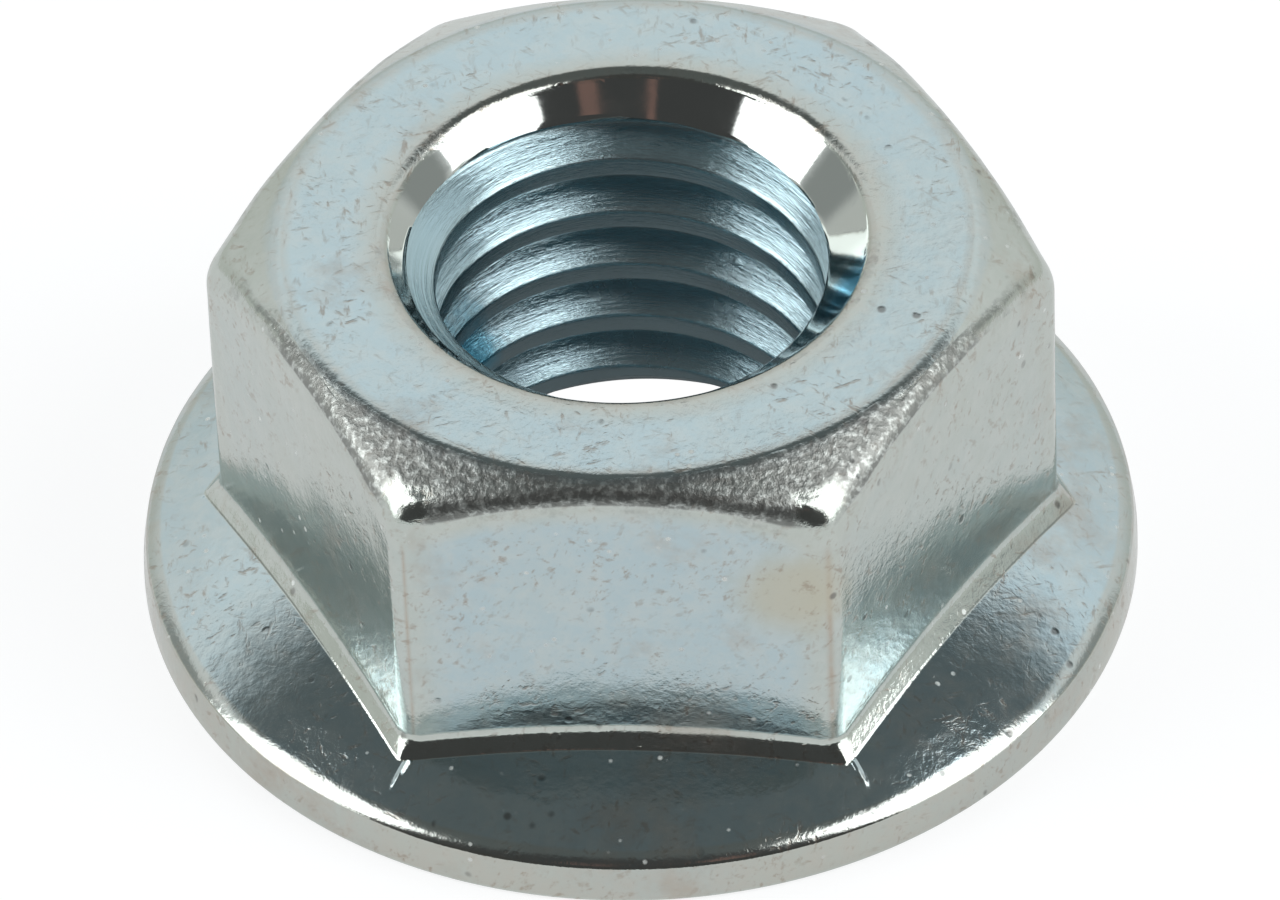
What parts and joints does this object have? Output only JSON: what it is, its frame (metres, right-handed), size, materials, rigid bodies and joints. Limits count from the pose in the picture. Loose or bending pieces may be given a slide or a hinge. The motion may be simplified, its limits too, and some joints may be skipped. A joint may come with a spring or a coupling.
{
  "type": "serrated flange nut",
  "caption": "Hexagon nut with a built-in round flange, a threaded bore and radial serrations under the flange that resist loosening.",
  "frame": {"origin": "centre of the bearing face under the flange, on the thread axis", "axes": "+Z along the thread axis from the serrated bearing face to the top of the hexagon, two hexagon flats face -Y and +Y, two corners point along X"},
  "size_m": [0.0176, 0.0176, 0.0076],
  "materials": {
    "zinc_plate": "bright zinc plate with a pale blue clear passivation, lightly stained and scratched"
  },
  "bodies": {
    "root": {"flange_nut": "zinc_plate"}
  },
  "joints": []
}
